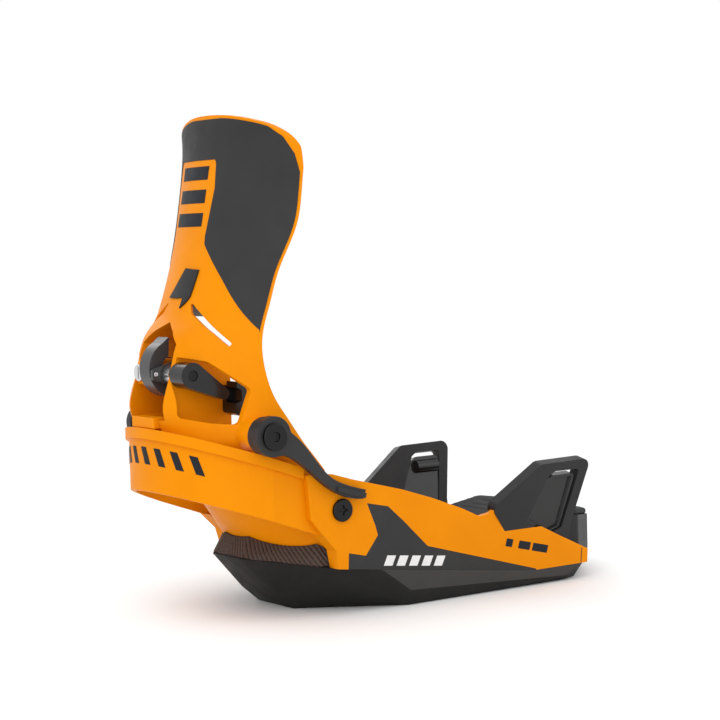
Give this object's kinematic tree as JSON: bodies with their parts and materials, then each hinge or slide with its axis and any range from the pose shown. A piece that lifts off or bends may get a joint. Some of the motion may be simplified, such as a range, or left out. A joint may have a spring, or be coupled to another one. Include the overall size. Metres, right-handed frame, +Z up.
{
  "type": "step-in snowboard binding",
  "caption": "Strapless step-in snowboard binding with a tall highback, side release lever, leaning toe hooks and a slotted mounting disc.",
  "frame": {"origin": "centre of the mounting disc's bolt pattern, on the board's surface", "axes": "+X to the toe, +Y to the inner side of the foot, +Z up from the board"},
  "size_m": [0.3029, 0.1464, 0.2808],
  "materials": {
    "orange": "satin glass-filled nylon",
    "print": "dark inlay",
    "rubber": "ribbed matte",
    "charcoal": "matte",
    "foam": "matte foam",
    "black_gloss": "glossy",
    "black_steel": "black oxide",
    "steel": "bright zinc",
    "graphite": "grey satin"
  },
  "bodies": {
    "base": {"chassis": "orange", "heel_bridge": "orange", "side_rail_outer": "orange", "side_rail_inner": "orange", "side_panel_outer": "print", "side_panel_inner": "print", "base_pad": "rubber", "heel_bumper": "rubber", "disc": "charcoal", "disc_cover": "charcoal", "heel_pad": "foam", "toe_hook_outer": "charcoal", "toe_hook_inner": "charcoal", "cleat_catch_outer": "black_gloss", "cleat_catch_inner": "black_gloss", "hook_screws": "black_steel", "heelcup": "orange", "heelcup_screws": "black_steel", "heelcup_nuts": "steel", "side_arm_outer": "charcoal", "side_arm_inner": "charcoal", "arm_screws": "black_steel", "pivot_bolts": "black_steel", "pivot_washers": "steel", "pivot_nuts": "steel"},
    "highback": {"highback_shell": "orange", "highback_pad": "foam", "lever_catch": "black_gloss", "cleat_guide": "charcoal", "latch_frame": "graphite", "frame_screw": "steel", "lean_pin": "steel"},
    "release": {"release_lever": "black_gloss", "lever_shaft": "steel", "lever_screw": "black_steel", "heel_latch": "steel"},
    "lean_flip": {"lean_lever": "graphite"},
    "lean_stop": {"lean_block": "orange"},
    "ramp": {"toe_ramp": "charcoal", "toe_pad": "foam"}
  },
  "joints": [
    {"name": "highback_fold", "type": "hinge", "parent": "base", "child": "highback", "pos_m": [-0.106, 0, 0.1055], "axis": [0, 1, 0], "range_deg": [0, 40]},
    {"name": "release_turn", "type": "hinge", "parent": "highback", "child": "release", "pos_m": [-0.133, 0, 0.1382], "axis": [0, -1, 0], "range_deg": [0, 26], "stiffness_Nm_per_rad": 0.25, "springref_deg": -20.05},
    {"name": "lean_lever_flip", "type": "hinge", "parent": "highback", "child": "lean_flip", "pos_m": [-0.1418, 0, 0.1386], "axis": [0, -1, 0], "range_deg": [0, 60]},
    {"name": "lean_block_slide", "type": "slide", "parent": "highback", "child": "lean_stop", "axis": [0, 0, 1], "range_m": [0, 0.004]},
    {"name": "ramp_slide", "type": "slide", "parent": "base", "child": "ramp", "axis": [1, 0, 0], "range_m": [0, 0.008]}
  ]
}
